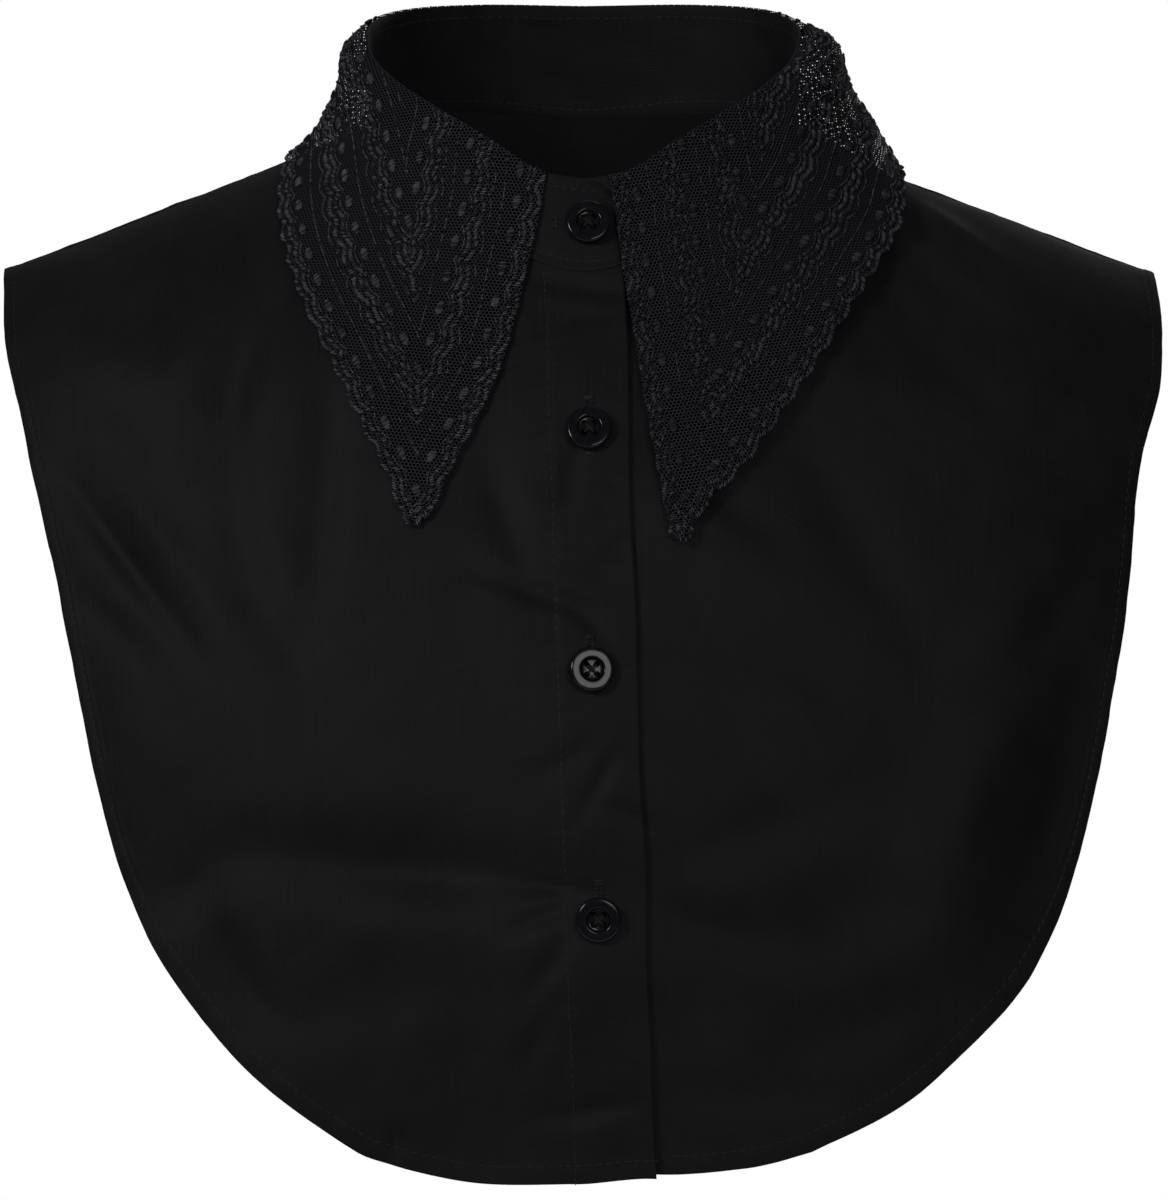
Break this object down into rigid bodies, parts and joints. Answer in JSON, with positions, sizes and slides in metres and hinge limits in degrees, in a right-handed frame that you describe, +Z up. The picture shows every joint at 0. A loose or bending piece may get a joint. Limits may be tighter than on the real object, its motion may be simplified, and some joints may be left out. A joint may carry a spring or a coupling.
{
  "type": "detachable shirt front with lace collar",
  "caption": "Black cotton shirt front, buttoned up, open at the sides, with a stand and a long pointed collar of embroidered lace, shaped as it is worn.",
  "frame": {"origin": "middle of the neck, at the height where the collar stand crosses the shoulders", "axes": "+Z up along the neck, +Y to the wearer's back, +X to the wearer's left"},
  "size_m": [0.3622, 0.2256, 0.3555],
  "materials": {
    "cotton": "black cotton poplin, matt with a faint sheen",
    "lace": "black tulle with satin-stitch embroidery",
    "button": "black polished polyester"
  },
  "bodies": {
    "root": {"front_right": "cotton", "front_left": "cotton", "back": "cotton", "collar_stand": "cotton", "lace_collar": "lace", "button_1": "button", "button_2": "button", "button_3": "button", "button_4": "button"}
  },
  "joints": []
}
